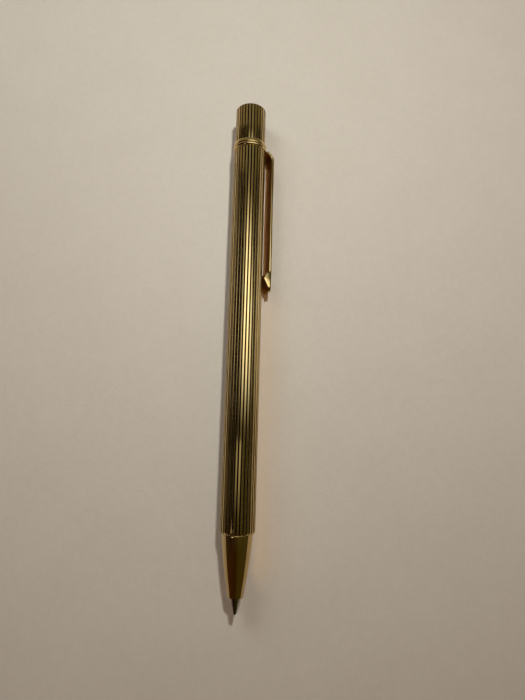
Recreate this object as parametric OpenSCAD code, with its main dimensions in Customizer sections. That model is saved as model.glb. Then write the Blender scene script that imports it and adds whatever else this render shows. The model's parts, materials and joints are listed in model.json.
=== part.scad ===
// Retractable ballpoint pen: slim fluted metal barrel, push button, rotary click
// mechanism and a metal refill. Millimetres.
//
// Every piece is drawn standing on its own axis, with height 0 at the very front of
// the writing ball, and place() then lays it along Y: the point towards -Y, the push
// button towards +Y, the pen's axis at x = 0, z = 0, and y = 0 at the button's end
// face. The pen is drawn with the point out and latched.

/* [Overall] */
// Length from the ball to the button's end face
pen_len = 137.2; // [120:0.1:150]
// Which node to show

/* [Barrel] */
// Diameter over the lands
barrel_d = 9; // [8:0.1:12]
// Inside diameter of the tube
barrel_bore_d = 7.9; // [7:0.05:10]
// Height of the joint between nose cone and barrel
barrel_from = 19; // [12:0.5:40]
// Height of the barrel's top end
barrel_to = 124; // [100:0.5:130]
// Number of flutes around the barrel
barrel_flutes = 32; // [12:1:60]
// How far the barrel's flutes are turned around the axis, in degrees
barrel_flute_turn = 2.9; // [0:0.1:11]
// Width of a groove at the surface
groove_w = 0.42; // [0.1:0.01:0.6]
// Depth of a groove
groove_depth = 0.14; // [0.05:0.01:0.3]
// Length of the bevel at the nose end
barrel_bevel_len = 0.6; // [0:0.05:2]
// How far that bevel drops
barrel_bevel_drop = 0.3; // [0:0.05:1]
// Bevel around the top end
barrel_top_bevel = 0.2; // [0.05:0.05:0.5]

/* [Nose cone] */
// Height of the mouth
nose_from = 4; // [2:0.1:8]
// Outside diameter at the mouth
nose_mouth_d = 3.8; // [3:0.1:6]
// Outside diameter at the barrel
nose_back_d = 8; // [6:0.1:10]
// How far the cone's side bulges
nose_bulge = 0.22; // [0:0.01:1]
// Diameter of the hole in the mouth
nose_hole_d = 2.5; // [2.3:0.01:3]
// Wall around the refill tube, inside the threaded spigot
nose_bore_d = 6.1; // [6:0.05:6.5]
// Diameter of the spring chamber
spring_chamber_d = 4.7; // [4:0.05:5.5]
// Height of the seat for the spring
spring_seat_at = 10.5; // [8:0.1:14]

/* [Clip] */
// Width of the clip arm
clip_w = 4.3; // [3:0.1:7]
// Thickness of the clip arm
clip_t = 0.78; // [0.4:0.01:1.2]
// Distance from the pen's axis to the arm's outer face
clip_reach = 6.9; // [5.5:0.1:9]
// Height of the free end
clip_end_at = 82.6; // [60:0.1:100]
// Radius of the corners at the free end
clip_corner_r = 1.4; // [0.4:0.1:2]
// Outer radius of the bend at the root
clip_bend_r = 2.9; // [0.9:0.05:3.4]
// Height of the point of the boss
boss_peak_at = 86.2; // [70:0.1:110]
// Length of the boss's back, from its peak towards the root
boss_back_len = 2.2; // [1:0.1:4]
// Length of the steep shoulder where that back leaves the arm
boss_shoulder_len = 0.6; // [0.2:0.1:1]
// How far the shoulder drops towards the barrel
boss_shoulder_drop = 0.85; // [0.2:0.05:1.2]
// Length of the boss's long ramp
boss_ramp_len = 2.9; // [1:0.1:8]
// Gap between boss and barrel
boss_gap = 0.05; // [0.02:0.01:0.5]
// How far the clip is rolled down from level, so its edge rests with the ring
clip_roll = 24; // [0:0.5:45]

/* [Clip ring and collar] */
// Diameter of the bead ring
ring_d = 9.56; // [9:0.01:12]
// Height of the bead ring
ring_h = 1.1; // [0.6:0.05:3]
// How deep the ring's rounded rim reaches in from its widest point
bead_depth = 0.45; // [0.1:0.05:0.6]
// Height of the collar above the ring
collar_h = 1.1; // [0.6:0.05:3]
// Diameter at the foot of the collar
collar_d = 9.4; // [9:0.05:12]
// Height of the straight foot below the collar's rounded shoulder
collar_foot_h = 0.2; // [0:0.05:0.8]
// Diameter of the collar's top rim
collar_rim_d = 8.92; // [8.5:0.01:11]

/* [Push button] */
// Diameter over the lands
button_d = 8.6; // [7:0.1:10]
// Number of flutes around the button
button_flutes = 30; // [12:1:60]
// How far the button's flutes are turned around the axis, in degrees
button_flute_turn = 4; // [0:0.1:12]
// How deep the button's edge sits in the collar
button_sunk = 0.15; // [0:0.01:1]
// Diameter of the smooth skirt below the flutes
skirt_d = 7; // [6:0.1:8]
// Bevel around the end face
button_bevel = 0.2; // [0.05:0.05:1]

/* [Click mechanism] */
// Diameter of the plunger's stem
stem_d = 5.4; // [4:0.1:6]
// Diameter over the ribs of rotor and plunger
rib_d = 6.4; // [5.8:0.1:7]
// Width of a rib
rib_w = 1.2; // [0.6:0.1:2]
// Ribs around the rotor
cam_count = 4; // [3:1:6]
// Height of the crown teeth
tooth_h = 0.9; // [0.4:0.1:1.5]
// How far the button moves between point out and point in
click_travel = 5; // [3:0.5:7]
// How far it goes past the latch
click_over = 0.9; // [0.5:0.1:0.9]
// Room around a sliding piece, on the radius
slide_gap = 0.05; // [0.02:0.01:0.1]

/* [Refill] */
// Length of the refill
refill_len = 98.1; // [60:0.1:110]
// Diameter of the refill's tube
refill_d = 5.95; // [5:0.05:6.5]
// Wall of the refill's tube
refill_wall = 0.38; // [0.2:0.01:0.6]
// Diameter of the neck
neck_d = 3.2; // [2.8:0.1:4]
// Diameter of the steel tip's shank
tip_d = 2.35; // [2:0.05:2.6]
// Height at which the tip's cone reaches its shank
tip_cone_len = 3.9; // [2:0.1:6]
// Diameter of the writing ball
ball_d = 0.7; // [0.5:0.1:1.2]
// Diameter of the spring wire
wire_d = 0.4; // [0.3:0.05:0.6]
// Mean diameter of the spring's coils
coil_d = 3.9; // [3.5:0.1:4.5]
// Turns in the spring
coil_turns = 8.5; // [5:0.5:14]

/* [Hidden] */
$fn = 96;
eps = 0.01;
// How far a cut runs past the face it opens
cut_over = 1;
press_gap = 0.01;
gold = [0.83, 0.66, 0.27];
pale_gold = [0.9, 0.76, 0.4];
steel = [0.74, 0.75, 0.77];
brass = [0.72, 0.58, 0.3];
dark_steel = [0.35, 0.36, 0.38];
ivory_plastic = [0.88, 0.86, 0.8];
grey_plastic = [0.3, 0.31, 0.33];
black_rubber = [0.08, 0.08, 0.09];
ink_blue = [0.06, 0.09, 0.36];
grease_amber = [0.82, 0.68, 0.32];

barrel_r = barrel_d / 2;
bore_r = barrel_bore_d / 2;
groove_floor_w = groove_w / 2;

// Screw threads are drawn as closed rings of the same pitch and depth.
thread_pitch = 0.5;
thread_gap = 0.03;
nose_thread_minor_r = 3.38;
nose_thread_major_r = 3.56;
nose_thread_from = barrel_from + 1.6;
nose_thread_turns = 12;
nose_thread_relief = 0.3;
collar_thread_minor_r = 3.76;
collar_thread_major_r = 3.88;
collar_thread_from = barrel_to - 6;
collar_thread_turns = 11;
collar_thread_relief = 0.25;

// Nose cone: seal groove behind the shoulder
seal_wire_r = 0.25;
seal_at = barrel_from + 0.65;
seal_groove_half = 0.32;
seal_gap = 0.02;
seal_mid_r = bore_r - seal_wire_r - seal_gap;
seal_floor_r = seal_mid_r - seal_wire_r - eps;
spigot_r = bore_r - slide_gap;
nose_top = nose_thread_from + nose_thread_turns * thread_pitch + 0.4;
bush_from = nose_thread_from - 0.2;
bush_to = nose_top + 0.6;
tip_relief_from = 8;
tip_relief_r = 1.75;
refill_bore_from = 17.6;
nose_lip = 0.12;

// Clip ring, collar and button stack up on the barrel
ring_r = ring_d / 2;
ring_top = barrel_to + ring_h;
collar_top = ring_top + collar_h;
collar_seat = ring_top + 0.02;
collar_well_r = button_d / 2 + 0.04;
skirt_r = skirt_d / 2;
spigot_bore_r = skirt_r + slide_gap;
button_r = button_d / 2;
button_from = collar_top - button_sunk;
skirt_bevel = 0.2;
skirt_countersink_h = 1.2;
end_disc_t = 0.8;
end_disc_r = 3.6;
stem_top = pen_len - end_disc_t;
ring_root_gap = 0.04;
ring_bore_r = collar_thread_major_r + thread_gap;

// Guide sleeve, plunger and rotor, from the front to the back
stem_r = stem_d / 2;
rib_r = rib_d / 2;
cam_pitch = 360 / cam_count;
sleeve_from = 99;
sleeve_to = barrel_to - 6.55;
skirt_from = sleeve_to + click_over + 0.25;
sleeve_r = bore_r - press_gap;
guide_from = 104.3;
slot_w = rib_w + 0.14;
slot_r = rib_r + slide_gap;
guide_bore_r = stem_r + 0.06;
rotor_from = refill_len + 0.02;
rotor_rib_from = 100.5;
rotor_top = 104;
rotor_foot_r = 2.6;
rotor_bore_r = 1.7;
rotor_floor = 1;
crown_from = 105;
plunger_rib_from = 106.2;
plunger_rib_len = 3.4;
slot_to = plunger_rib_from + plunger_rib_len + click_travel + 1.1;
crown_teeth = 2 * cam_count;
stem_bore_r = 1.6;
stem_end_wall = 4;

// Refill
refill_r = refill_d / 2;
refill_bore_r = refill_r - refill_wall;
neck_r = neck_d / 2;
tip_r = tip_d / 2;
ball_r = ball_d / 2;
ball_seat_gap = 0.01;
tip_lip_at = 0.22;
tip_lip_r = 0.43;
tip_shank_to = 9.6;
tip_spigot_r = 0.95;
tip_spigot_to = 12;
feed_r = 0.22;
feed_to = 2;
feed_wide_r = 0.6;
neck_bore_r = 1.1;
neck_shoulder_from = 19.6;
neck_shoulder_to = 20.4;
neck_plug_to = 23.4;
neck_lead = 0.3;
neck_bevel = 0.15;
ink_to = 78;
grease_to = 82;
plug_from = 95.5;
plug_plug_from = 92.5;
plug_notches = 3;
plug_notch_w = 1.1;
plug_notch_depth = 1.4;
plug_notch_from_r = 1.3;
plug_vent_r = 0.7;

// Lays a standing piece along Y, with the button's end face at y = 0.
module place() {
    translate([0, -pen_len, 0])
        rotate([-90, 0, 0])
            children();
}

// A plain tube between two heights.
module tube(from, to, outer_r, inner_r) {
    difference() {
        translate([0, 0, from])
            cylinder(r = outer_r, h = to - from);
        translate([0, 0, from - cut_over])
            cylinder(r = inner_r, h = to - from + 2 * cut_over);
    }
}

// A plain disc between two heights.
module disc(from, to, r) {
    translate([0, 0, from])
        cylinder(r = r, h = to - from);
}

// Straight grooves with tapered sides, cut from outside, all the way between two heights.
module flutes(count, turn, r, from, to) {
    for (i = [0 : count - 1])
        rotate([0, 0, turn + (i + 0.5) * 360 / count])
            translate([0, 0, from])
                linear_extrude(height = to - from)
                    polygon([
                        [r - groove_depth, -groove_floor_w / 2],
                        [r + groove_depth, -groove_w / 2 - groove_floor_w / 2],
                        [r + groove_depth, groove_w / 2 + groove_floor_w / 2],
                        [r - groove_depth, groove_floor_w / 2]
                    ]);
}

// Outline points of a ring thread: root, crest, root, crest and so on.
function thread_outline(from, turns, root_r, crest_r) = [
    for (i = [0 : 2 * turns])
        [i % 2 == 0 ? root_r : crest_r, from + i * thread_pitch / 2]
];

module barrel() {
    color(gold)
        place()
            difference() {
                rotate_extrude()
                    polygon([
                        [bore_r, barrel_from],
                        [barrel_r - barrel_bevel_drop, barrel_from],
                        [barrel_r, barrel_from + barrel_bevel_len],
                        [barrel_r, barrel_to - barrel_top_bevel],
                        [barrel_r - barrel_top_bevel, barrel_to],
                        [ring_bore_r, barrel_to],
                        each reverse(thread_outline(collar_thread_from, collar_thread_turns,
                                                    collar_thread_minor_r + thread_gap,
                                                    collar_thread_major_r + thread_gap)),
                        [collar_thread_minor_r + thread_gap, sleeve_to + eps],
                        [bore_r, sleeve_to + eps]
                    ]);
                flutes(barrel_flutes, barrel_flute_turn, barrel_r,
                       barrel_from - cut_over, barrel_to + cut_over);
            }
}

function reverse(list) = [for (i = [len(list) - 1 : -1 : 0]) list[i]];

// Radius of the nose cone's side at a height: a straight taper with a slight bulge.
function nose_side_r(h) =
    let (t = (h - nose_from) / (barrel_from - nose_from))
        nose_mouth_d / 2 + (nose_back_d - nose_mouth_d) / 2 * t + nose_bulge * sin(180 * t);

module nose_cone() {
    side_steps = 12;
    color(gold)
        place()
            rotate_extrude()
                polygon([
                    [nose_hole_d / 2, nose_from + nose_lip],
                    [nose_hole_d / 2 + nose_lip, nose_from],
                    [nose_mouth_d / 2 - nose_lip, nose_from],
                    for (i = [0 : side_steps])
                        let (h = nose_from + nose_lip
                                 + (barrel_from - nose_from - nose_lip) * i / side_steps)
                            [nose_side_r(h), h],
                    [spigot_r, barrel_from],
                    [spigot_r, seal_at - seal_groove_half],
                    [seal_floor_r, seal_at - seal_groove_half],
                    [seal_floor_r, seal_at + seal_groove_half],
                    [spigot_r, seal_at + seal_groove_half],
                    [spigot_r, nose_thread_from - nose_thread_relief],
                    [nose_thread_minor_r, nose_thread_from - nose_thread_relief],
                    each thread_outline(nose_thread_from, nose_thread_turns,
                                        nose_thread_minor_r, nose_thread_major_r),
                    [nose_thread_minor_r, nose_top],
                    [nose_bore_d / 2, nose_top],
                    [nose_bore_d / 2, refill_bore_from],
                    [spring_chamber_d / 2, refill_bore_from],
                    [spring_chamber_d / 2, spring_seat_at],
                    [tip_relief_r, spring_seat_at],
                    [tip_relief_r, tip_relief_from],
                    [nose_hole_d / 2, tip_relief_from]
                ]);
}

module nose_thread_bush() {
    color(brass)
        place()
            rotate_extrude()
                polygon([
                    [bore_r - press_gap, bush_from],
                    [bore_r - press_gap, bush_to],
                    [nose_thread_minor_r + thread_gap, bush_to],
                    each reverse(thread_outline(nose_thread_from, nose_thread_turns,
                                                nose_thread_minor_r + thread_gap,
                                                nose_thread_major_r + thread_gap)),
                    [nose_thread_minor_r + thread_gap, bush_from]
                ]);
}

module nose_o_ring() {
    color(black_rubber)
        place()
            translate([0, 0, seal_at])
                rotate_extrude()
                    translate([seal_mid_r, 0])
                        circle(r = seal_wire_r, $fn = 32);
}

// The bead ring: flat faces above and below, with a rounded rim.
module clip_ring() {
    bead_steps = 10;
    color(pale_gold)
        place()
            rotate_extrude()
                polygon([
                    [ring_bore_r, barrel_to],
                    for (i = [0 : bead_steps])
                        let (a = 180 * i / bead_steps)
                            [ring_r - bead_depth + bead_depth * sin(a),
                             barrel_to + ring_h / 2 - ring_h / 2 * cos(a)],
                    [ring_bore_r, ring_top]
                ]);
}

// Points of a quarter turn in the clip's side view, from the flat root to the straight arm.
function bend_points(r, mid_r, mid_h, steps) = [
    for (i = [steps : -1 : 0])
        let (a = 90 * i / steps)
            [mid_r + r * cos(a), mid_h + r * sin(a)]
];

// Side view of the clip: distance from the pen's axis across, height up.
module clip_side() {
    inner = clip_reach - clip_t;
    root_top = ring_top - ring_root_gap;
    bend_mid_r = clip_reach - clip_bend_r;
    bend_mid_h = root_top - clip_bend_r;
    bend_steps = 16;
    polygon([
        [skirt_r, root_top - clip_t],
        each bend_points(clip_bend_r - clip_t, bend_mid_r, bend_mid_h, bend_steps),
        [inner, boss_peak_at + boss_back_len],
        [inner - boss_shoulder_drop, boss_peak_at + boss_back_len - boss_shoulder_len],
        [barrel_r + boss_gap, boss_peak_at],
        [inner, boss_peak_at - boss_ramp_len],
        [inner, clip_end_at],
        [clip_reach, clip_end_at],
        each reverse(bend_points(clip_bend_r, bend_mid_r, bend_mid_h, bend_steps)),
        [skirt_r, root_top]
    ]);
}

// Outline of the arm as seen from outside: straight sides, and rounded corners at the
// free end.
module clip_front() {
    half = clip_w / 2;
    corner_mid = half - clip_corner_r;
    translate([skirt_r, 0, 0])
        rotate([90, 0, 90])
            linear_extrude(height = clip_reach) {
                translate([-half, clip_end_at + clip_corner_r])
                    square([clip_w, ring_top - clip_end_at]);
                translate([-corner_mid, clip_end_at])
                    square([2 * corner_mid, 2 * clip_corner_r]);
                for (side = [-1, 1])
                    translate([side * corner_mid, clip_end_at + clip_corner_r])
                        circle(r = clip_corner_r);
            }
}

module clip_arm() {
    color(gold)
        place()
            rotate([0, 0, clip_roll])
                difference() {
                    intersection() {
                        rotate([90, 0, 0])
                            linear_extrude(height = clip_w, center = true)
                                clip_side();
                        clip_front();
                    }
                    disc(barrel_to - clip_bend_r, ring_top + cut_over, ring_r + ring_root_gap);
                }
}

// A threaded spigot below, and a rounded shoulder around the button's well above.
module collar() {
    shoulder_steps = 8;
    foot_r = collar_d / 2;
    rim_r = collar_rim_d / 2;
    foot_top = ring_top + collar_foot_h;
    color(gold)
        place()
            rotate_extrude()
                polygon([
                    [spigot_bore_r, collar_thread_from - collar_thread_relief],
                    [collar_thread_minor_r, collar_thread_from - collar_thread_relief],
                    each thread_outline(collar_thread_from, collar_thread_turns,
                                        collar_thread_minor_r, collar_thread_major_r),
                    [collar_thread_major_r, barrel_to],
                    [collar_thread_major_r, ring_top],
                    [foot_r, ring_top],
                    for (i = [0 : shoulder_steps])
                        let (a = 90 * i / shoulder_steps)
                            [rim_r + (foot_r - rim_r) * cos(a),
                             foot_top + (collar_top - foot_top) * sin(a)],
                    [collar_well_r, collar_top],
                    [collar_well_r, collar_seat],
                    [spigot_bore_r, collar_seat]
                ]);
}

// Fluted head above, smooth skirt below, one turned piece bored for the stem.
module push_button() {
    color(gold)
        place()
            difference() {
                rotate_extrude()
                    polygon([
                        [stem_r + press_gap, skirt_from + skirt_countersink_h],
                        [skirt_r - skirt_bevel, skirt_from],
                        [skirt_r, skirt_from + skirt_bevel],
                        [skirt_r, button_from],
                        [button_r, button_from],
                        [button_r, pen_len - button_bevel],
                        [button_r - button_bevel, pen_len],
                        [end_disc_r + press_gap, pen_len],
                        [end_disc_r + press_gap, stem_top],
                        [stem_r + press_gap, stem_top]
                    ]);
                flutes(button_flutes, button_flute_turn, button_r,
                       button_from - eps, pen_len + cut_over);
            }
}

module button_end_disc() {
    color(gold)
        place()
            disc(stem_top, pen_len, end_disc_r);
}

// Pointed teeth around the end of a round piece, cut by notches that run across it.
module crown_notches(at, direction) {
    notch_w = 2 * PI * stem_r / crown_teeth;
    for (i = [0 : crown_teeth - 1])
        rotate([0, 0, (i + 0.5) * 360 / crown_teeth])
            translate([0, 0, at])
                rotate([90, 0, 90])
                    linear_extrude(height = rib_r + cut_over)
                        polygon([
                            [-notch_w / 2, -direction * eps],
                            [notch_w / 2, -direction * eps],
                            [0, direction * tooth_h]
                        ]);
}

// Straight ribs that stand out from the pen's axis.
module ribs(from, length, count) {
    for (i = [0 : count - 1])
        rotate([0, 0, i * 360 / count])
            translate([0, -rib_w / 2, from])
                cube([rib_r, rib_w, length]);
}

module plunger() {
    color(ivory_plastic)
        place()
            difference() {
                union() {
                    disc(crown_from, stem_top, stem_r);
                    intersection() {
                        ribs(plunger_rib_from, plunger_rib_len, cam_count);
                        disc(crown_from, slot_to, rib_r);
                    }
                }
                disc(crown_from - cut_over, stem_top - stem_end_wall, stem_bore_r);
                crown_notches(crown_from, 1);
            }
}

// Tapers the front of each guide rib, so the rotor's ribs are turned as they meet it.
module guide_slopes() {
    slope_w = 2 * PI * rib_r / cam_count;
    for (i = [0 : cam_count - 1])
        rotate([0, 0, i * cam_pitch])
            translate([0, 0, guide_from])
                rotate([90, 0, 90])
                    linear_extrude(height = slot_r)
                        polygon([
                            [slot_w / 2, -eps],
                            [slope_w - slot_w / 2, -eps],
                            [slot_w / 2, tooth_h]
                        ]);
}

module guide_sleeve() {
    color(grey_plastic)
        place()
            difference() {
                disc(sleeve_from, sleeve_to, sleeve_r);
                disc(sleeve_from - cut_over, sleeve_to + cut_over, guide_bore_r);
                disc(sleeve_from - cut_over, guide_from, slot_r + slide_gap);
                for (i = [0 : cam_count - 1])
                    rotate([0, 0, i * cam_pitch])
                        translate([0, -slot_w / 2, sleeve_from])
                            cube([slot_r, slot_w, slot_to - sleeve_from]);
                guide_slopes();
            }
}

module rotor() {
    color(ivory_plastic)
        place()
            difference() {
                union() {
                    disc(rotor_from, rotor_rib_from, rotor_foot_r);
                    disc(rotor_rib_from, rotor_top, stem_r);
                    intersection() {
                        ribs(rotor_rib_from, rotor_top - rotor_rib_from, cam_count);
                        disc(rotor_from, rotor_top, rib_r);
                    }
                }
                disc(rotor_rib_from + rotor_floor, rotor_top + cut_over, rotor_bore_r);
                crown_notches(rotor_top, -1);
            }
}

module refill_end_plug() {
    color(dark_steel)
        place()
            difference() {
                union() {
                    disc(plug_from, refill_len, refill_r);
                    disc(plug_plug_from, plug_from + eps, refill_bore_r - press_gap);
                }
                disc(plug_plug_from - cut_over, refill_len + cut_over, plug_vent_r);
                for (i = [0 : plug_notches - 1])
                    rotate([0, 0, i * 360 / plug_notches])
                        translate([plug_notch_from_r, -plug_notch_w / 2,
                                   refill_len - plug_notch_depth])
                            cube([refill_r, plug_notch_w, plug_notch_depth + cut_over]);
            }
}

module refill_tube() {
    color(steel)
        place()
            tube(neck_shoulder_to, plug_from, refill_r, refill_bore_r);
}

module refill_neck() {
    color(brass)
        place()
            rotate_extrude()
                polygon([
                    [tip_spigot_r + press_gap, tip_shank_to],
                    [neck_r - neck_bevel, tip_shank_to],
                    [neck_r, tip_shank_to + neck_lead],
                    [neck_r, neck_shoulder_from],
                    [refill_r - neck_bevel, neck_shoulder_from],
                    [refill_r, neck_shoulder_from + neck_bevel],
                    [refill_r, neck_shoulder_to],
                    [refill_bore_r - press_gap, neck_shoulder_to],
                    [refill_bore_r - press_gap, neck_plug_to],
                    [neck_bore_r, neck_plug_to],
                    [neck_bore_r, tip_spigot_to],
                    [tip_spigot_r + press_gap, tip_spigot_to]
                ]);
}

// Steel tip: a lip holds the ball in a round seat, fed through a narrow hole.
module refill_tip() {
    color(steel)
        place()
            difference() {
                rotate_extrude()
                    polygon([
                        [0, tip_lip_at],
                        [tip_lip_r, tip_lip_at],
                        [tip_r, tip_cone_len],
                        [tip_r, tip_shank_to],
                        [tip_spigot_r, tip_shank_to],
                        [tip_spigot_r, tip_spigot_to],
                        [0, tip_spigot_to]
                    ]);
                translate([0, 0, ball_r])
                    sphere(r = ball_r + ball_seat_gap);
                disc(ball_r, feed_to + eps, feed_r);
                disc(feed_to, tip_spigot_to + cut_over, feed_wide_r);
            }
}

module writing_ball() {
    color(dark_steel)
        place()
            translate([0, 0, ball_r])
                sphere(r = ball_r);
}

module ink_column() {
    ink_gap = 0.01;
    ball_gap = 0.05;
    color(ink_blue)
        place()
            union() {
                disc(ball_d + ball_gap, feed_to + eps, feed_r - ink_gap);
                disc(feed_to + ink_gap, tip_spigot_to + eps, feed_wide_r - ink_gap);
                disc(tip_spigot_to + ink_gap, neck_plug_to + eps, neck_bore_r - ink_gap);
                disc(neck_plug_to + ink_gap, ink_to, refill_bore_r - ink_gap);
            }
}

module grease_plug() {
    color(grease_amber)
        place()
            disc(ink_to + eps, grease_to, refill_bore_r - eps);
}

// Height of the wire's centre after a number of turns: the first and last turn lie
// flat against their neighbours, and the turns between share the rest evenly.
function coil_height(turn, length) =
    let (flat = wire_d + eps,
         rise = (length - wire_d - 2 * flat) / (coil_turns - 2))
        turn < 1 ? turn * flat
        : turn > coil_turns - 1 ? length - wire_d - (coil_turns - turn) * flat
        : flat + (turn - 1) * rise;

// A round wire wound into a coil, as one closed skin of rings of points.
module coil(length) {
    turn_steps = 24;
    wire_sides = 8;
    rings = floor(coil_turns * turn_steps);
    points = [
        for (i = [0 : rings], s = [0 : wire_sides - 1])
            let (turn = i / turn_steps,
                 around = 360 * turn,
                 a = 360 * s / wire_sides,
                 r = coil_d / 2 + wire_d / 2 * cos(a))
                [r * cos(around), r * sin(around),
                 wire_d / 2 + coil_height(turn, length) + wire_d / 2 * sin(a)]
    ];
    sides = [
        for (i = [0 : rings - 1], s = [0 : wire_sides - 1])
            let (next = (s + 1) % wire_sides)
                [i * wire_sides + s, i * wire_sides + next,
                 (i + 1) * wire_sides + next, (i + 1) * wire_sides + s]
    ];
    front_end = [for (s = [wire_sides - 1 : -1 : 0]) s];
    back_end = [for (s = [0 : wire_sides - 1]) rings * wire_sides + s];
    polyhedron(points, concat([front_end], sides, [back_end]), convexity = 10);
}

module return_spring() {
    seat_gap = 0.02;
    color(steel)
        place()
            translate([0, 0, spring_seat_at + seat_gap])
                coil(neck_shoulder_from - spring_seat_at - 2 * seat_gap);
}

barrel();
nose_cone();
nose_thread_bush();
nose_o_ring();
clip_ring();
clip_arm();
collar();
push_button();
button_end_disc();
plunger();
guide_sleeve();
rotor();
refill_end_plug();
refill_tube();
refill_neck();
refill_tip();
writing_ball();
ink_column();
grease_plug();
return_spring();
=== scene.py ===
"""Looks of the retractable ballpoint pen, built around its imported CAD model.

The pen lies along Y, button towards +Y, on a pale table. Outlines are worked out in
millimetres from the CAD boxes and turned into metres when a mesh is made.
"""

import json
import math

import bmesh
import bpy
import numpy as np
from mathutils import Matrix, Vector


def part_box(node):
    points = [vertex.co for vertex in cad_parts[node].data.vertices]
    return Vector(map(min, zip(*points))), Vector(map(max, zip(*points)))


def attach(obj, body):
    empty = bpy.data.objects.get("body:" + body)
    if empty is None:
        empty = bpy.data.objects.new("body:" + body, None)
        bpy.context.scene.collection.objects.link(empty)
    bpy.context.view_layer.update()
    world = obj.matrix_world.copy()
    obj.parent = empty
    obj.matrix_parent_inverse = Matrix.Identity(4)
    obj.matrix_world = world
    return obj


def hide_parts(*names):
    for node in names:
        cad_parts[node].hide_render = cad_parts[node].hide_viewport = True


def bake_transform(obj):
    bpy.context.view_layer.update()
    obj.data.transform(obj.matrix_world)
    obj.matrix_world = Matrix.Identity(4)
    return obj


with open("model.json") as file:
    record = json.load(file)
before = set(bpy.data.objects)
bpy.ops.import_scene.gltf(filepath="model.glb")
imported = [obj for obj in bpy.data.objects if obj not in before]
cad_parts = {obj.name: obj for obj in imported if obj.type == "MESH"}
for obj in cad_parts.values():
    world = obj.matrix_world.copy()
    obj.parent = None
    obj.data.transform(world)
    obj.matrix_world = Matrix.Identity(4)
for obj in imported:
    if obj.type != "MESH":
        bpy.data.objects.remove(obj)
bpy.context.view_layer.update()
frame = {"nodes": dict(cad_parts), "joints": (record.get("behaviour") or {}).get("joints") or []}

MM = 0.001


# ---------------------------------------------------------------- places from the CAD


def span(node):
    """Lowest y, highest y and outer radius of a round CAD node, in millimetres."""
    low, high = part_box(node)
    return low.y / MM, high.y / MM, high.x / MM


def joint_place(name):
    """Where a joint is, in millimetres."""
    joint = next(j for j in frame["joints"] if j["name"] == name)
    return Vector(joint["pos_m"]) / MM


BARREL_FROM, BARREL_TO, BARREL_R = span("barrel")
NOSE_FROM, NOSE_SPIGOT_TO, _ = span("nose_cone")
RING_FROM, RING_TO, RING_R = span("clip_ring")
COLLAR_FROM, COLLAR_TO, COLLAR_R = span("collar")
SKIRT_FROM, BUTTON_TO, BUTTON_R = span("push_button")
DISC_FROM, DISC_TO, DISC_R = span("button_end_disc")
TIP_FROM, TIP_TO, TIP_R = span("refill_tip")
BALL_FROM, BALL_TO, BALL_R = span("writing_ball")
SPRING_FROM, SPRING_TO, SPRING_R = span("return_spring")

BARREL_BEVEL_LEN = 0.6
GROOVE_W = 0.42
GROOVE_DEPTH = 0.14
BARREL_FLUTES = 32
BARREL_TURN_DEG = 2.9
BUTTON_FLUTES = 30
BUTTON_TURN_DEG = 4


# ---------------------------------------------------------------- mesh tools


def make_object(name, vertices_mm, faces, material, sharp_deg=32):
    """A mesh object from points in millimetres, smooth except across sharp edges."""
    mesh = bpy.data.meshes.new(name)
    mesh.from_pydata([[c * MM for c in v] for v in vertices_mm], [], faces)
    work = bmesh.new()
    work.from_mesh(mesh)
    bmesh.ops.remove_doubles(work, verts=work.verts, dist=1e-7)
    bmesh.ops.recalc_face_normals(work, faces=work.faces)
    work.to_mesh(mesh)
    work.free()
    mesh.shade_smooth()
    mesh.set_sharp_from_angle(angle=math.radians(sharp_deg))
    mesh.materials.append(material)
    piece = bpy.data.objects.new(name, mesh)
    bpy.context.scene.collection.objects.link(piece)
    return piece


def shade_points(piece, name, values):
    """Stores one number per point for a material to read."""
    shade = piece.data.attributes.new(name, "FLOAT", "POINT")
    shade.data.foreach_set("value", values)


def fillet(corners, closed=True, steps=5):
    """Rounds an outline. Each corner is (radius from the axis, y, fillet radius)."""
    most_of_side = 0.49
    rounded = []
    count = len(corners)
    for i, (r, y, size) in enumerate(corners):
        here = Vector((r, y))
        at_end = not closed and i in (0, count - 1)
        if size <= 0 or at_end:
            rounded.append(here)
            continue
        before = Vector(corners[i - 1][:2]) - here
        after = Vector(corners[(i + 1) % count][:2]) - here
        turn = before.angle(after)
        shorter = min(before.length, after.length)
        reach = min(size / math.tan(turn / 2), shorter * most_of_side)
        start = here + before.normalized() * reach
        end = here + after.normalized() * reach
        for k in range(steps + 1):
            t = k / steps
            rounded.append((1 - t) ** 2 * start + 2 * t * (1 - t) * here + t * t * end)
    return rounded


def even_angles(count):
    """Angles that share a full turn evenly."""
    return [math.tau * i / count for i in range(count)]


def smoothstep(low, high, x):
    """0 below low, 1 above high, and a soft step between them."""
    t = min(1.0, max(0.0, (x - low) / (high - low)))
    return t * t * (3 - 2 * t)


def lathe(name, outline, material, angles=None, shell=None, closed=True, sharp_deg=32):
    """Turns an outline of (radius, y) points around the pen's axis.

    shell gives the largest radius at an angle, which is how flutes are cut.
    """
    angles = angles or even_angles(160)
    vertices = []
    cut_depths = []
    for angle in angles:
        limit = shell(angle) if shell else math.inf
        for r, y in outline:
            held = min(r, limit)
            cut_depths.append(r - held)
            vertices.append((held * math.cos(angle), y, held * math.sin(angle)))
    rows = len(outline)
    columns = len(angles)
    last = rows if closed else rows - 1
    faces = []
    for i in range(columns):
        j = (i + 1) % columns
        for k in range(last):
            m = (k + 1) % rows
            faces.append((i * rows + k, i * rows + m, j * rows + m, j * rows + k))
    piece = make_object(name, vertices, faces, material, sharp_deg)
    if shell:
        # The material reads this groove mask to paint shade into the grooves.
        shade_points(piece, "in_groove", [smoothstep(0.01, 0.07, d) for d in cut_depths])
    return piece


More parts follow.
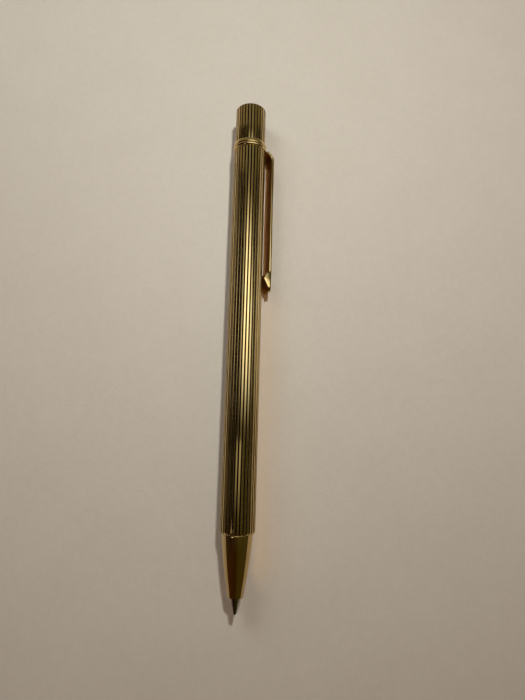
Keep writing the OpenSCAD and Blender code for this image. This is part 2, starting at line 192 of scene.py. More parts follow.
def flute_shell(count, turn_deg, radius):
    """Largest radius at an angle, for a round piece with softly edged grooves."""
    pitch = math.tau / count
    first = pitch / 2 - math.radians(turn_deg)

    def shell(angle):
        from_groove = (angle - first + pitch / 2) % pitch - pitch / 2
        across = abs(from_groove) * radius / (GROOVE_W / 2)
        return radius - GROOVE_DEPTH * (1 - smoothstep(0.4, 1.1, across))

    return shell


def flute_angles(count, turn_deg, radius):
    """Angles that follow the grooves: many steps at the groove, few on the land."""
    pitch = math.tau / count
    first = pitch / 2 - math.radians(turn_deg)
    groove = GROOVE_W / 2 / radius
    across = [0, 0.4, 0.52, 0.64, 0.76, 0.88, 1.0, 1.1, 1.3, 1.6]
    half = [a * groove for a in across]
    steps = half + [pitch / 2] + [pitch - a for a in reversed(half[1:])]
    return [first + i * pitch + step for i in range(count) for step in steps]


# ---------------------------------------------------------------- materials


class Tree:
    """Short calls for building a tree of shader nodes."""

    def __init__(self, tree):
        self.tree = tree

    def add(self, kind, **settings):
        node = self.tree.nodes.new(kind)
        for key, value in settings.items():
            setattr(node, key, value)
        return node

    def join(self, source, target):
        self.tree.links.new(source, target)

    def fill(self, socket, value):
        """Joins another node's output to the socket, or sets the socket to a plain value."""
        if hasattr(value, "is_output"):
            self.join(value, socket)
        else:
            socket.default_value = value

    def math(self, operation, a, b=0.0, clamp=False):
        node = self.add("ShaderNodeMath", operation=operation, use_clamp=clamp)
        self.fill(node.inputs[0], a)
        self.fill(node.inputs[1], b)
        return node.outputs[0]

    def ramp(self, value, low, high, out_low=0.0, out_high=1.0, kind="SMOOTHSTEP"):
        """Takes low..high to out_low..out_high and holds the ends."""
        node = self.add("ShaderNodeMapRange", clamp=True, interpolation_type=kind)
        self.fill(node.inputs["Value"], value)
        node.inputs["From Min"].default_value = low
        node.inputs["From Max"].default_value = high
        node.inputs["To Min"].default_value = out_low
        node.inputs["To Max"].default_value = out_high
        return node.outputs["Result"]

    def mix(self, share, a, b):
        """Colour a where the share is 0, colour b where it is 1."""
        node = self.add("ShaderNodeMix", data_type="RGBA")
        self.fill(node.inputs["Factor"], share)
        self.fill(node.inputs["A"], (*a, 1) if isinstance(a, tuple) else a)
        self.fill(node.inputs["B"], (*b, 1) if isinstance(b, tuple) else b)
        return node.outputs["Result"]

    def split(self, vector):
        """The three parts of a vector, by the names X, Y and Z."""
        node = self.add("ShaderNodeSeparateXYZ")
        self.join(vector, node.inputs[0])
        return node.outputs

    def background(self, color, strength=1.0):
        node = self.add("ShaderNodeBackground")
        self.fill(node.inputs["Color"], (*color, 1) if isinstance(color, tuple) else color)
        node.inputs["Strength"].default_value = strength
        return node.outputs[0]

    def either(self, share, first, second):
        """One shader where the share is 0, another where it is 1."""
        node = self.add("ShaderNodeMixShader")
        self.join(share, node.inputs["Fac"])
        self.join(first, node.inputs[1])
        self.join(second, node.inputs[2])
        return node.outputs[0]


class Surface(Tree):
    """A node material and the textures that it is made of."""

    def __init__(self, name):
        self.material = bpy.data.materials.new(name)
        self.material.use_nodes = True
        super().__init__(self.material.node_tree)
        self.shader = self.tree.nodes["Principled BSDF"]
        self.point = self.add("ShaderNodeTexCoord").outputs["Object"]

    def stretched(self, scale):
        """The object's point in metres, scaled by three numbers."""
        mapping = self.add("ShaderNodeMapping")
        self.join(self.point, mapping.inputs["Vector"])
        mapping.inputs["Scale"].default_value = scale
        return mapping.outputs["Vector"]

    def noise(self, scale, detail=4.0, rough=0.5, vector=None):
        node = self.add("ShaderNodeTexNoise")
        self.join(vector or self.point, node.inputs["Vector"])
        node.inputs["Scale"].default_value = scale
        node.inputs["Detail"].default_value = detail
        node.inputs["Roughness"].default_value = rough
        return node.outputs["Fac"]

    def cells(self, scale):
        """Distance to the middle of the nearest cell of a random pattern."""
        node = self.add("ShaderNodeTexVoronoi")
        self.join(self.point, node.inputs["Vector"])
        node.inputs["Scale"].default_value = scale
        return node.outputs["Distance"]

    def bump(self, height, strength, distance_mm, normal=None):
        """Normal of a surface raised by the height, over an earlier normal if there is one."""
        node = self.add("ShaderNodeBump")
        self.fill(node.inputs["Height"], height)
        node.inputs["Strength"].default_value = strength
        node.inputs["Distance"].default_value = distance_mm * MM
        if normal:
            self.join(normal, node.inputs["Normal"])
        return node.outputs["Normal"]

    def attribute(self, name):
        """A number stored on the points of the mesh."""
        return self.add("ShaderNodeAttribute", attribute_name=name).outputs["Fac"]

    def set(self, **sockets):
        """Fills the shader's sockets, named with _ for a space, and gives the material."""
        for key, value in sockets.items():
            self.fill(self.shader.inputs[key.replace("_", " ")], value)
        return self.material


GOLD = (0.60, 0.43, 0.185)
PALE_GOLD = (0.64, 0.48, 0.23)
TARNISH = (0.08, 0.04, 0.012)
# Painted shade: near-black colour laid into the grooves of the flutes.
GROOVE_PAINTED_SHADE = (0.03, 0.012, 0.003)
# Painted reflection: orange-brown laid on the clip's inner face for gold light bounced off the
# barrel and table.
CLIP_INSIDE_PAINTED_REFLECTION = (0.62, 0.27, 0.035)
PAPER = (0.60, 0.54, 0.45)
PAPER_BLOTCH = (0.585, 0.525, 0.435)
PAPER_SPECK = (0.3, 0.26, 0.2)


def darker(color, share):
    return tuple(c * share for c in color)


def gold_plate(name, grain, rough=0.06, wear=1.0, fluted=False, painted_reflection_tint=None):
    """Polished gold plate: faint tint drift, hairline scratches and small dents; fluted pieces
    get painted shade in their grooves, and a clip's inner face gets a painted reflection of
    bounced gold light.
    """
    n = Surface(name)
    spot_stain = 0.45 * wear
    spot_dull = 0.25 * wear
    groove_dull = 0.12
    inside_dull = 0.4
    dent_mm = 0.008 * wear
    scratch_mm = 0.002
    scuff_mm = 0.003 * wear
    drift = n.noise(260, 3, 0.6)
    color = n.mix(n.ramp(drift, 0.35, 0.7), GOLD, PALE_GOLD)
    hairlines = n.noise(1.0, 6, 0.65, n.stretched(grain))
    scuffs = n.noise(1400, 4, 0.7)
    smudge = n.noise(140, 2, 0.5)
    spots = n.ramp(n.cells(1500), 0.0, 0.16, 1.0, 0.0)
    spot_zone = n.math("MULTIPLY", spots, n.ramp(n.noise(420, 2), 0.5, 0.66))
    color = n.mix(n.math("MULTIPLY", spot_zone, spot_stain), color, TARNISH)
    roughness = n.ramp(hairlines, 0.3, 0.75, rough - 0.01, rough + 0.02)
    roughness = n.math("ADD", roughness, n.ramp(smudge, 0.45, 0.7, 0.0, 0.03))
    roughness = n.math("ADD", roughness, n.math("MULTIPLY", spot_zone, spot_dull))
    # Painted shade: the grooves are coloured near black, standing in for the shade and dim
    # reflections in their hollows; they are also made rougher.
    if fluted:
        in_groove = n.attribute("in_groove")
        color = n.mix(in_groove, color, GROOVE_PAINTED_SHADE)
        roughness = n.math("ADD", roughness, n.math("MULTIPLY", in_groove, groove_dull))
    # Painted reflection: the inner face is tinted orange-brown, standing in for gold light
    # bounced between barrel, clip and table; it is also made rougher.
    if painted_reflection_tint:
        inside = n.attribute("inner_face")
        color = n.mix(inside, color, painted_reflection_tint)
        roughness = n.math("ADD", roughness, n.math("MULTIPLY", inside, inside_dull))
    normal = n.bump(n.noise(330, 2, 0.5), 0.25, dent_mm)
    normal = n.bump(hairlines, 0.2, scratch_mm, normal)
    normal = n.bump(scuffs, 0.25, scuff_mm, normal)
    return n.set(Base_Color=color, Metallic=1.0, Roughness=roughness, Normal=normal)


def steel(name, color=(0.56, 0.55, 0.53), rough=0.22, grain=(4000, 300, 4000)):
    """Turned or drawn steel with fine tool marks."""
    n = Surface(name)
    marks = n.noise(1.0, 4, 0.6, n.stretched(grain))
    haze = n.noise(500, 3, 0.6)
    tint = n.mix(n.ramp(haze, 0.35, 0.7), color, darker(color, 0.78))
    roughness = n.ramp(marks, 0.3, 0.7, rough - 0.06, rough + 0.1)
    normal = n.bump(marks, 0.3, 0.003)
    return n.set(Base_Color=tint, Metallic=1.0, Roughness=roughness, Normal=normal)


def brass(name):
    """Plain turned brass, not plated."""
    n = Surface(name)
    marks = n.noise(1.0, 5, 0.6, n.stretched((900, 9000, 900)))
    tint = n.mix(n.ramp(n.noise(700, 4), 0.35, 0.7), (0.75, 0.53, 0.2), (0.5, 0.33, 0.12))
    roughness = n.ramp(marks, 0.3, 0.7, 0.24, 0.42)
    return n.set(Base_Color=tint, Metallic=1.0, Roughness=roughness,
                 Normal=n.bump(marks, 0.4, 0.004))


def moulded(name, color, rough=0.38):
    """Moulded plastic: fine orange peel and faint flow marks."""
    n = Surface(name)
    flow = n.noise(300, 3, 0.6, n.stretched((1, 0.3, 1)))
    tint = n.mix(n.ramp(flow, 0.3, 0.75), color, darker(color, 0.86))
    roughness = n.ramp(n.noise(2500, 3), 0.3, 0.7, rough - 0.06, rough + 0.08)
    return n.set(Base_Color=tint, Roughness=roughness,
                 Normal=n.bump(n.noise(3500, 2), 0.25, 0.004))


def seal_rubber(name):
    """Black rubber with a little dust on it."""
    n = Surface(name)
    dust = n.noise(1800, 4, 0.7)
    tint = n.mix(n.ramp(dust, 0.5, 0.8), (0.012, 0.012, 0.013), (0.05, 0.048, 0.045))
    return n.set(Base_Color=tint, Roughness=n.ramp(dust, 0.3, 0.7, 0.45, 0.7),
                 Normal=n.bump(dust, 0.4, 0.006))


def paste(name, color, rough, see_through):
    """Ink paste or follower grease."""
    n = Surface(name)
    swirl = n.noise(500, 4, 0.6, n.stretched((1, 0.4, 1)))
    tint = n.mix(n.ramp(swirl, 0.3, 0.7), color, darker(color, 0.7))
    return n.set(Base_Color=tint, Roughness=n.ramp(swirl, 0.3, 0.7, rough, rough + 0.1),
                 Transmission_Weight=see_through, Normal=n.bump(swirl, 0.3, 0.01))


AXIAL_GRAIN = (7000, 180, 7000)
TURNED_GRAIN = (500, 9000, 500)
gold_barrel = gold_plate("gold_plate_barrel", AXIAL_GRAIN, 0.06, fluted=True)
gold_button = gold_plate("gold_plate_button", AXIAL_GRAIN, 0.07, fluted=True)
gold_turned = gold_plate("gold_plate_turned", TURNED_GRAIN, 0.05)
gold_bead = gold_plate("gold_plate_bead", TURNED_GRAIN, 0.05, 0.6)
gold_clip = gold_plate("gold_plate_clip", AXIAL_GRAIN, 0.06, 0.8, painted_reflection_tint=CLIP_INSIDE_PAINTED_REFLECTION)
tip_steel = steel("tip_steel", (0.32, 0.30, 0.27), 0.16, (600, 12000, 600))
ball_metal = steel("ball_metal", (0.3, 0.3, 0.31), 0.1, (9000, 9000, 9000))
wire_steel = steel("wire_steel", (0.62, 0.62, 0.63), 0.24)
tube_steel = steel("tube_steel", (0.6, 0.59, 0.57), 0.26)
plain_brass = brass("plain_brass")
ivory_plastic = moulded("ivory_plastic", (0.72, 0.68, 0.58))
grey_plastic = moulded("grey_plastic", (0.11, 0.11, 0.12), 0.45)
dark_plastic = moulded("dark_plastic", (0.03, 0.03, 0.032), 0.42)
ring_rubber = seal_rubber("ring_rubber")
ink_paste = paste("ink_paste", (0.01, 0.02, 0.16), 0.2, 0.0)
follower_grease = paste("follower_grease", (0.8, 0.62, 0.22), 0.12, 0.6)


# ---------------------------------------------------------------- pieces


def finish_piece(piece, body, node):
    """Fixes a piece to its body, in place of a CAD node."""
    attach(piece, body)
    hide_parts(node)


def build_barrel():
    """Fluted tube, bevelled at the nose end, with its inside and both rims."""
    bevel_drop = 0.3
    top_bevel = 0.2
    bore_r = 3.95
    thread_r = 3.8
    thread_depth = 6.5
    corners = [
        (bore_r, BARREL_FROM, 0.06),
        (BARREL_R - bevel_drop, BARREL_FROM, 0.06),
        (BARREL_R, BARREL_FROM + BARREL_BEVEL_LEN, 0.25),
        (BARREL_R, BARREL_TO - top_bevel, 0.1),
        (BARREL_R - top_bevel, BARREL_TO, 0.06),
        (thread_r, BARREL_TO, 0.03),
        (thread_r, BARREL_TO - thread_depth, 0.05),
        (bore_r, BARREL_TO - thread_depth, 0.0),
    ]
    outline = fillet(corners)
    piece = lathe("fluted_barrel", outline, gold_barrel,
                  flute_angles(BARREL_FLUTES, BARREL_TURN_DEG, BARREL_R),
                  flute_shell(BARREL_FLUTES, BARREL_TURN_DEG, BARREL_R))
    finish_piece(piece, "barrel_unit", "barrel")


NOSE_BACK_R = 4.0


def nose_side_r(y):
    """The cone's side: a straight taper with a slight bulge, as in the CAD."""
    mouth_r = 1.9
    bulge = 0.22
    t = (y - NOSE_FROM) / (BARREL_FROM - NOSE_FROM)
    return mouth_r + (NOSE_BACK_R - mouth_r) * t + bulge * math.sin(math.pi * t)


def build_nose_cone():
    """Tapered shell with a rounded mouth, a stepped bore and a spigot inside the barrel."""
    hole_r = 1.25
    hole_to = NOSE_FROM + 4
    neck_r = 1.75
    seat_y = NOSE_FROM + 6.5
    chamber_r = 2.35
    chamber_to = NOSE_FROM + 13.6
    bore_r = 3.05
    thread_r = 3.5
    thread_from = BARREL_FROM + 1.4
    fit_r = 3.9
    fit_to = BARREL_FROM + 1.3
    back_edge = 0.03
    back_round = 0.1
    lip = 0.14
    lip_round = lip * 0.3
    steps = 40
    side_from = NOSE_FROM + lip
    side_to = BARREL_FROM - back_round
    heights = [side_from + (side_to - side_from) * i / steps for i in range(steps + 1)]
    side = [(nose_side_r(y), y) for y in heights]
    rim_r = nose_side_r(side_from)
    mouth = [(hole_r, side_from), (hole_r + lip_round, NOSE_FROM + lip_round),
             (hole_r + lip, NOSE_FROM), (rim_r - lip, NOSE_FROM),
             (rim_r - lip_round, NOSE_FROM + lip_round)]
    back = [(NOSE_BACK_R - back_edge, BARREL_FROM - back_edge), (fit_r, BARREL_FROM),
            (fit_r, fit_to), (thread_r, thread_from), (thread_r, NOSE_SPIGOT_TO),
            (bore_r, NOSE_SPIGOT_TO), (bore_r, chamber_to), (chamber_r, chamber_to),
            (chamber_r, seat_y), (neck_r, seat_y), (neck_r, hole_to), (hole_r, hole_to)]
    piece = lathe("nose_cone_shell", mouth + side + back, gold_turned)
    finish_piece(piece, "barrel_unit", "nose_cone")


def build_clip_ring():
    """Bead ring with a fully rounded rim."""
    half = (RING_TO - RING_FROM) / 2
    middle = (RING_TO + RING_FROM) / 2
    depth = 0.45
    steps = 20
    bore_r = 3.91
    bead = [(RING_R - depth + depth * math.sin(math.pi * i / steps),
             middle - half * math.cos(math.pi * i / steps)) for i in range(steps + 1)]
    outline = [(bore_r, RING_FROM)] + bead + [(bore_r, RING_TO)]
    piece = lathe("clip_ring_bead", outline, gold_bead)
    finish_piece(piece, "barrel_unit", "clip_ring")


def build_collar():
    """Rounded shoulder around the button's well, over a threaded spigot."""
    rim_r = 4.46
    well_r = 4.34
    bore_r = 3.55
    thread_r = 3.85
    foot = RING_TO
    foot_top = foot + 0.2
    foot_edge = 0.1
    well_floor = foot + 0.02
    well_lip = 0.03
    steps = 12
    shoulder = [(rim_r + (COLLAR_R - rim_r) * math.cos(math.pi / 2 * i / steps),
                 foot_top + (COLLAR_TO - foot_top) * math.sin(math.pi / 2 * i / steps))
                for i in range(steps + 1)]
    spigot = [(bore_r, COLLAR_FROM), (thread_r, COLLAR_FROM), (thread_r, foot),
              (COLLAR_R - foot_edge * 0.8, foot),
              (COLLAR_R - foot_edge * 0.2, foot + foot_edge * 0.3),
              (COLLAR_R, foot + foot_edge)]
    well = [(well_r, COLLAR_TO - well_lip), (well_r, well_floor), (bore_r, well_floor)]
    piece = lathe("collar_shoulder", spigot + shoulder + well, gold_turned)
    finish_piece(piece, "barrel_unit", "collar")


def build_button():
    """Fluted head over a smooth skirt, bored for the plunger's stem."""
    skirt_r = 3.5
    skirt_bevel = 0.1
    bevel_len = 0.15
    stem_r = 2.71
    stem_lead = 1.2
    disc_well_r = DISC_R + 0.01
    head_from = COLLAR_TO - 0.15
    corners = [
        (stem_r, SKIRT_FROM + stem_lead, 0.0),
        (skirt_r - skirt_bevel, SKIRT_FROM, 0.06),
        (skirt_r, SKIRT_FROM + bevel_len, 0.08),
        (skirt_r, head_from, 0.0),
        (BUTTON_R, head_from, 0.08),
        (BUTTON_R, BUTTON_TO, 0.22),
        (disc_well_r, BUTTON_TO, 0.03),
        (disc_well_r, DISC_FROM, 0.0),
        (stem_r, DISC_FROM, 0.0),
    ]
    piece = lathe("push_button_shell", fillet(corners), gold_button,
                  flute_angles(BUTTON_FLUTES, BUTTON_TURN_DEG, BUTTON_R),
                  flute_shell(BUTTON_FLUTES, BUTTON_TURN_DEG, BUTTON_R))
    finish_piece(piece, "button", "push_button")


def build_end_disc():
    """Flat cap of the button, with a rounded edge."""
    corners = [(0, DISC_FROM, 0), (DISC_R, DISC_FROM, 0.03), (DISC_R, DISC_TO, 0.06),
               (0, DISC_TO, 0)]
    piece = lathe("button_end_cap", fillet(corners, closed=False), gold_turned, closed=False)
    finish_piece(piece, "button", "button_end_disc")


def build_tip():
    """Steel point: ball lip, small step, cone and shank."""
    lip_r = 0.43
    seat_r = 0.34
    seat_edge = TIP_FROM + 0.12
    seat_floor = TIP_FROM + 0.5
    cone_to = TIP_FROM + 3.68
    stem_r = 0.95
    stem_from = TIP_TO - 2.4
    corners = [
        (0, seat_floor, 0),
        (seat_r, seat_edge, 0.0),
        (seat_r, TIP_FROM, 0.02),
        (lip_r, TIP_FROM, 0.05),
        (TIP_R, cone_to, 0.3),
        (TIP_R, stem_from, 0.05),
        (stem_r, stem_from, 0.0),
        (stem_r, TIP_TO, 0.05),
        (0, TIP_TO, 0),
    ]
    piece = lathe("refill_point", fillet(corners, closed=False), tip_steel,
                  even_angles(96), closed=False)
    finish_piece(piece, "refill", "refill_tip")


def build_ball():
    """Ball of the point."""
    steps = 24
    middle = (BALL_FROM + BALL_TO) / 2
    outline = [(BALL_R * math.sin(math.pi * i / steps),
                middle - BALL_R * math.cos(math.pi * i / steps)) for i in range(steps + 1)]
    piece = lathe("ball_point", outline, ball_metal, even_angles(48), closed=False,
                  sharp_deg=180)
    finish_piece(piece, "ball", "writing_ball")


def clip_directions():
    """Outwards from the pen's axis to the rolled clip, and across the clip's width."""
    root = joint_place("clip_flex")
    out = Vector((root.x, 0, root.z)).normalized()
    return out, Vector((-out.z, 0, out.x))


def boss_side(peak_y, strip_r):
    """Inner side of the wedge boss from its front ramp to its back, as (y, radius)."""
    ramp_len = 2.9
    ramp_lead = 0.1
    peak_half = 0.12
    front_gap = 0.1
    peak_gap = 0.05
    rear_gap = 0.08
    back_to = 1.5
    back_height = 0.9
    corner_to = 1.66
    corner_height = 0.78
    foot_to = 2.16
    foot_height = 0.04
    end = 2.28
    return [(peak_y - ramp_len, strip_r), (peak_y - ramp_len + ramp_lead, strip_r - foot_height),
            (peak_y - peak_half, BARREL_R + front_gap), (peak_y, BARREL_R + peak_gap),
            (peak_y + peak_half, BARREL_R + rear_gap), (peak_y + back_to, strip_r - back_height),
            (peak_y + corner_to, strip_r - corner_height),
            (peak_y + foot_to, strip_r - foot_height), (peak_y + end, strip_r)]


def clip_stations():
    """(outer point, inner point, half width, inset) along the clip; points are (out, y)."""
    thick = 0.78
    reach = 6.9
    bend = 2.9
    root_deg = 74
    half = 2.15
    corner = 1.4
    end_edge = 0.2
    under_ring_top = 0.04
    boss_from_end = 3.6
    behind_boss = 2.4
    bend_steps = 20
    strip_steps = 30
    end_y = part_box("clip_arm")[0].y / MM
    strip_r = reach - thick
    middle = np.array((reach - bend, RING_TO - under_ring_top - bend))
    stations = []
    for angle in np.radians(np.linspace(root_deg, 0, bend_steps)):
        direction = np.array((math.cos(angle), math.sin(angle)))
        outer = middle + bend * direction
        inner = middle + (bend - thick) * direction
        stations.append((outer, inner, half, 0))
    boss = boss_side(end_y + boss_from_end, strip_r)
    boss_ys = [y for y, _ in boss]
    boss_radii = [r for _, r in boss]
    strip_to = end_y + boss_from_end + behind_boss
    straight = list(np.linspace(middle[1], strip_to, strip_steps))[1:]
    rounding = [end_y + corner * (1 - math.cos(math.radians(a))) for a in range(9, 91, 9)]
    for y in sorted(set(straight + boss_ys + rounding), reverse=True):
        into_corner = max(0.0, end_y + corner - y)
        width = half - corner + math.sqrt(corner**2 - into_corner**2)
        inner_r = float(np.interp(y, boss_ys, boss_radii))
        into_edge = end_edge - min(y - end_y, end_edge)
        inset = end_edge - math.sqrt(end_edge**2 - into_edge**2)
        stations.append(((reach, y), (inner_r, y), width, inset))
    return stations


def rounded_section(half, thick, inner_edge, outer_edge, steps=4):
    """Rectangle with rounded corners, as (height over the inner face, across) points."""
    points = []
    corners = [(thick, outer_edge, 1, 0), (0, inner_edge, 1, 90),
               (0, inner_edge, -1, 180), (thick, outer_edge, -1, 270)]
    for face, edge, side, start in corners:
        a0 = edge if face == 0 else thick - edge
        b0 = side * (half - edge)
        for k in range(steps + 1):
            angle = math.radians(start + 90 * k / steps)
            points.append((a0 + edge * math.cos(angle), b0 + edge * math.sin(angle)))
    return points


def build_clip():
    """Flat strip bent out of the bead ring, with a wedge boss and rounded corners at its end."""
    out, across = clip_directions()
    inner_round = 0.2
    outer_round = 0.34
    vertices = []
    inner_face = []
    sections = []
    for outer, inner, half, inset in clip_stations():
        o = out * outer[0] + Vector((0, outer[1], 0))
        i = out * inner[0] + Vector((0, inner[1], 0))
        thick = (o - i).length - 2 * inset
        direction = (o - i).normalized()
        inner_edge = min(inner_round, half * 0.9, thick * 0.3)
        outer_edge = min(outer_round, half * 0.9, thick * 0.44)
        row = []
        for a, b in rounded_section(half, thick, inner_edge, outer_edge):
            point = i + direction * (a + inset) + across * b
            row.append(len(vertices))
            vertices.append(tuple(point))
            inner_face.append(1.0 if a < 0.01 else 0.0)
        sections.append(row)
    faces = []
    for first, second in zip(sections, sections[1:]):
        for k in range(len(first)):
            m = (k + 1) % len(first)
            faces.append((first[k], first[m], second[m], second[k]))
    faces.append(tuple(sections[0]))
    faces.append(tuple(reversed(sections[-1])))
    piece = make_object("pocket_clip", vertices, faces, gold_clip, 28)
    # The inner-face mask is where the clip's material paints its orange-brown reflection.
    shade_points(piece, "inner_face", inner_face)
    finish_piece(piece, "clip", "clip_arm")


def build_spring():
    """Coil with its first and last turns closed, stretching between seat and refill."""
    wire_r = 0.2
    coil_r = SPRING_R - wire_r
    turns = 8.5
    steps_per_turn = 40
    length = SPRING_TO - SPRING_FROM
    closed_rise = wire_r * 2.04
    rise = (length - 2 * wire_r - 2 * closed_rise) / (turns - 2)
    steps = int(turns * steps_per_turn)
    sides = 10
    vertices = []
    for i in range(steps + 1):
        turn = i * turns / steps
        if turn < 1:
            height = turn * closed_rise
        elif turn > turns - 1:
            height = length - 2 * wire_r - (turns - turn) * closed_rise
        else:
            height = closed_rise + (turn - 1) * rise
        around = math.tau * turn
        for s in range(sides):
            a = math.tau * s / sides
            r = coil_r + wire_r * math.cos(a)
            y = SPRING_FROM + wire_r + height + wire_r * math.sin(a)
            vertices.append((r * math.cos(around), y, -r * math.sin(around)))
    faces = []
    for i in range(steps):
        for s in range(sides):
            m = (s + 1) % sides
            faces.append((i * sides + s, i * sides + m, (i + 1) * sides + m, (i + 1) * sides + s))
    faces.append(tuple(range(sides)))
    faces.append(tuple(steps * sides + s for s in reversed(range(sides))))
    piece = make_object("coil_spring", vertices, faces, wire_steel)
    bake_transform(piece)
    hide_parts("return_spring")


def dress_cad_nodes():
    """Hidden parts keep their CAD meshes and get real finishes."""
    finishes = {
        "nose_thread_bush": plain_brass, "nose_o_ring": ring_rubber,
        "plunger": ivory_plastic, "guide_sleeve": grey_plastic, "rotor": ivory_plastic,
        "refill_end_plug": dark_plastic, "refill_tube": tube_steel,
        "refill_neck": plain_brass, "ink_column": ink_paste, "grease_plug": follower_grease,
    }
    for node, material in finishes.items():
        for slot in frame["nodes"][node].material_slots:
            slot.material = material


# ---------------------------------------------------------------- stage, light, camera


def floor_material():
    """Warm beige paper, faintly mottled and speckled."""
    n = Surface("table_top")
    mottle = n.noise(60, 5, 0.6)
    fibre = n.noise(1500, 4, 0.6)
    specks = n.noise(420, 3, 0.6)
    tint = n.mix(n.ramp(mottle, 0.3, 0.7), PAPER, PAPER_BLOTCH)
    tint = n.mix(n.ramp(specks, 0.35, 0.65, 0.0, 0.05), tint, PAPER_SPECK)
    tint = n.mix(n.ramp(fibre, 0.35, 0.65, 0.0, 0.06), tint, PAPER_SPECK)
    return n.set(Base_Color=tint, Roughness=n.ramp(fibre, 0.3, 0.7, 0.55, 0.7),
                 Normal=n.bump(fibre, 0.15, 0.02))


def build_floor():
    """A table plane that touches the clip ring and the barrel's nose edge."""
    ring_y = (RING_FROM + RING_TO) / 2
    nose_y = BARREL_FROM + BARREL_BEVEL_LEN
    lean = math.atan((RING_R - BARREL_R) / (ring_y - nose_y))
    mesh = bpy.data.meshes.new("table")
    half_m = 1.5
    corners = [(-half_m, -half_m, 0), (half_m, -half_m, 0), (half_m, half_m, 0),
               (-half_m, half_m, 0)]
    mesh.from_pydata(corners, [], [(0, 1, 2, 3)])
    mesh.materials.append(floor_material())
    floor = bpy.data.objects.new("table", mesh)
    bpy.context.scene.collection.objects.link(floor)
    floor.location = (0, ring_y * MM, -RING_R * MM)
    floor.rotation_euler = (-lean, 0, 0)


# What polished metal sees of the room. Each band goes from the left wall to the right one,
# as (place, colour), and the bands go from the side of the pen's point to behind its button.
ROOM_NEAR = [(0, (0.05, 0.02, 0.006)), (0.45, (0.03, 0.011, 0.001)),
             (0.6, (0.045, 0.035, 0.004)), (1, (0.06, 0.045, 0.01))]
ROOM_MIDDLE = [(0, (0.045, 0.03, 0.015)), (0.18, (0.008, 0.005, 0.002)),
               (0.4, (0.045, 0.035, 0.012)), (0.68, (0.08, 0.07, 0.025)),
               (0.85, (0.05, 0.045, 0.015)), (1, (0.07, 0.055, 0.02))]
ROOM_FAR = [(0, (0.10, 0.06, 0.03)), (0.11, (0.05, 0.033, 0.015)),
            (0.21, (0.01, 0.008, 0.003)), (0.36, (0.10, 0.085, 0.045)),
            (0.69, (0.17, 0.15, 0.09)), (0.82, (0.10, 0.09, 0.045)),
            (0.91, (0.03, 0.022, 0.006)), (1, (0.07, 0.05, 0.02))]
ROOM_BEHIND = [(0, (0.18, 0.13, 0.08)), (0.12, (0.26, 0.22, 0.14)),
               (0.22, (0.28, 0.25, 0.17)), (0.36, (0.22, 0.22, 0.17)),
               (0.65, (0.26, 0.26, 0.20)), (0.78, (0.13, 0.12, 0.05)),
               (0.86, (0.22, 0.20, 0.10)), (1, (0.12, 0.09, 0.03))]
ROOM_LIGHT = (1.0, 0.42, 0.12)
ROOM_STRENGTH = 0.125
BACKDROP = (0.5, 0.46, 0.38)


def build_world():
    """Soft room light. Mirrors see a dim room instead, and the camera a pale backdrop."""
    world = bpy.data.worlds.new("room")
    bpy.context.scene.world = world
    world.use_nodes = True
    world.node_tree.nodes.clear()
    t = Tree(world.node_tree)
    towards = t.split(t.add("ShaderNodeTexCoord").outputs["Generated"])

    def walls(stops):
        """Colours of one band of the room, from its left wall to its right wall."""
        node = t.add("ShaderNodeValToRGB")
        elements = node.color_ramp.elements
        elements[0].color = (*stops[0][1], 1)
        elements[1].color = (*stops[-1][1], 1)
        for place, color in stops[1:-1]:
            elements.new(place).color = (*color, 1)
        t.join(t.ramp(towards["X"], -1, 1, kind="LINEAR"), node.inputs["Fac"])
        return node.outputs["Color"]

    room = walls(ROOM_NEAR)
    for stops, start, end in ((ROOM_MIDDLE, -0.42, -0.3), (ROOM_FAR, 0.38, 0.46),
                              (ROOM_BEHIND, 0.54, 0.56)):
        room = t.mix(t.ramp(towards["Y"], start, end), room, walls(stops))
    ray = t.add("ShaderNodeLightPath").outputs
    mirrored = t.math("SUBTRACT", ray["Is Glossy Ray"], ray["Diffuse Depth"], clamp=True)
    light = t.either(mirrored, t.background(ROOM_LIGHT, ROOM_STRENGTH), t.background(room))
    shown = t.either(ray["Is Camera Ray"], light, t.background(BACKDROP))
    t.join(shown, t.add("ShaderNodeOutputWorld").inputs["Surface"])


def add_area(name, place_mm, target_mm, size_mm, watts, color):
    """A rectangular lamp that faces its target, with its width level along X."""
    light = bpy.data.lights.new(name, "AREA")
    light.shape = "RECTANGLE"
    light.size = size_mm[0] * MM
    light.size_y = size_mm[1] * MM
    light.energy = watts
    light.color = color
    lamp = bpy.data.objects.new(name, light)
    bpy.context.scene.collection.objects.link(lamp)
    back = (Vector(place_mm) - Vector(target_mm)).normalized()
    side = (Vector((1, 0, 0)) - back.x * back).normalized()
    turn = Matrix((side, back.cross(side), back)).transposed()
    lamp.matrix_world = Matrix.Translation(Vector(place_mm) * MM) @ turn.to_4x4()
    return lamp


def soften(lamp, left, right, near, far):
    """Fades an area lamp towards its edges, by shares of its width and length."""
    lamp.data.use_nodes = True
    t = Tree(lamp.data.node_tree)
    emission = next(n for n in t.tree.nodes if n.bl_idname == "ShaderNodeEmission")
    place = t.split(t.add("ShaderNodeNewGeometry").outputs["Parametric"])
    across = t.math("MULTIPLY", t.ramp(place["X"], 0, left), t.ramp(place["X"], 1, 1 - right))
    along = t.math("MULTIPLY", t.ramp(place["Y"], 0, near), t.ramp(place["Y"], 1, 1 - far))
    t.join(t.math("MULTIPLY", across, along), emission.inputs["Strength"])


PANEL_HEIGHT = 450


def add_panel(name, x, y, size_mm, watts, color):
    """A bright panel high over the pen that only shows in polished metal."""
    panel = add_area(name, (x, y, PANEL_HEIGHT), (x, y, 0), size_mm, watts, color)
    panel.visible_diffuse = False
    return panel


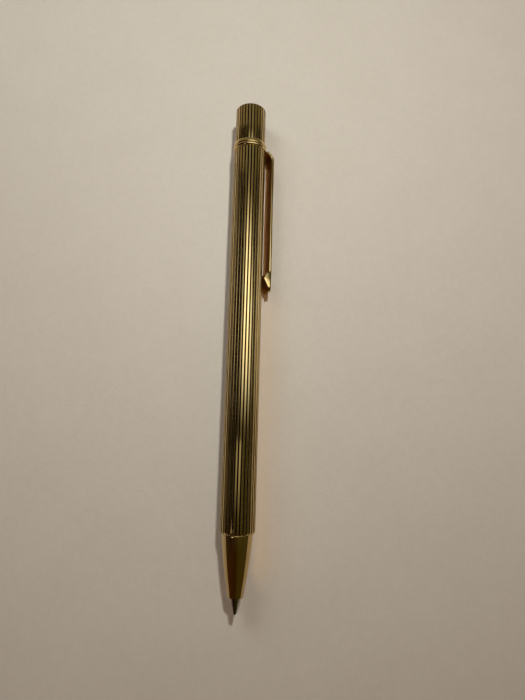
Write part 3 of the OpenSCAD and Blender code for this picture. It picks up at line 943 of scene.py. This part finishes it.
def build_lights():
    """Lamps for the table, and panels that give the gold its bright lines."""
    key = add_area("lamp_key", (88, 160, 350), (-5, -40, 0), (32, 32), 0.252,
                   (0.905, 0.943, 0.945))
    key.data.spread = math.radians(80)
    window = add_area("window", (-230, 250, 260), (0, -10, 0), (260, 160), 0.9,
                      (0.89, 0.985, 1.03))
    glow = add_area("glow", (4.35, -70, -1.55), (12.15, -70, -4.55), (2, 120), 0.0008,
                    (1.0, 0.62, 0.25))
    glow.visible_camera = False
    for lamp in (key, window, glow):
        lamp.visible_glossy = False
    wide = add_panel("panel_wide", 350, 95, (1100, 390), 3.1, (0.96, 1.0, 0.96))
    soften(wide, 0.24, 0.68, 0.41, 0.46)
    low = add_panel("panel_low", -30, -130, (430, 150), 0.085, (1.0, 0.98, 0.8))
    soften(low, 0.3, 0.4, 0.5, 0.3)
    add_panel("panel_left", -303, -256, (120, 60), 0.06, (1.0, 0.95, 0.85))


def build_camera():
    """Looks down on the pen from near its middle, tilted towards the button."""
    to_side = 5.14
    from_ball = 40.57
    height = 133.39
    place = Vector((to_side, BALL_FROM + from_ball, height))
    tilt = math.radians(10.8)
    roll = math.radians(1.47)
    forward = Vector((0, math.sin(tilt), -math.cos(tilt)))
    level_up = Vector((0, math.cos(tilt), math.sin(tilt)))
    level_right = Vector((1, 0, 0))
    right = math.cos(roll) * level_right + math.sin(roll) * level_up
    up = math.cos(roll) * level_up - math.sin(roll) * level_right
    data = bpy.data.cameras.new("camera")
    data.sensor_width = 36
    data.lens = 26
    data.clip_start = 0.005
    camera = bpy.data.objects.new("camera", data)
    bpy.context.scene.collection.objects.link(camera)
    turn = Matrix((right, up, -forward)).transposed()
    camera.matrix_world = Matrix.Translation(place * MM) @ turn.to_4x4()
    bpy.context.scene.camera = camera


build_barrel()
build_nose_cone()
build_clip_ring()
build_collar()
build_button()
build_end_disc()
build_tip()
build_ball()
build_clip()
build_spring()
dress_cad_nodes()
build_floor()
build_world()
build_lights()
build_camera()
bpy.context.scene.view_settings.view_transform = "Standard"
